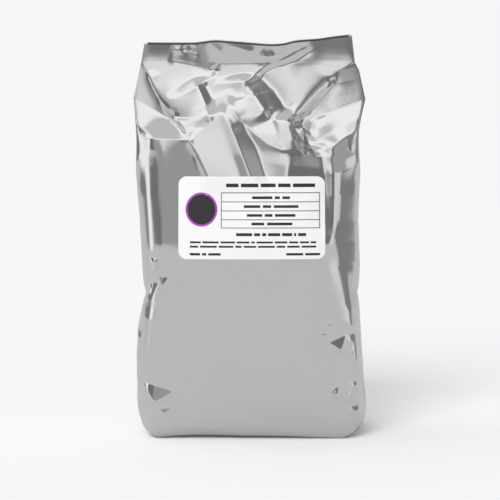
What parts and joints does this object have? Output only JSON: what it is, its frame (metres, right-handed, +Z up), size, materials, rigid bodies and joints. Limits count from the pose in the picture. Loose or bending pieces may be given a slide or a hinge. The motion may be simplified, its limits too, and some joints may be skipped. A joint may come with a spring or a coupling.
{
  "type": "coffee bag",
  "caption": "Filled side gusset bag of silver film with a crumpled heat sealed top, popped out shoulders, dents near the edges and a white paper label on the front.",
  "frame": {"origin": "middle of the base, on the surface that the bag stands on", "axes": "+Z up to the sealed edge, -Y out of the labelled face, +X to the viewer's right"},
  "size_m": [0.1546, 0.0894, 0.2664],
  "materials": {
    "foil": "glossy metallised film",
    "label_stock": "white coated sticker, semi gloss"
  },
  "bodies": {
    "root": {"bag": "foil", "label": "label_stock"}
  },
  "joints": []
}
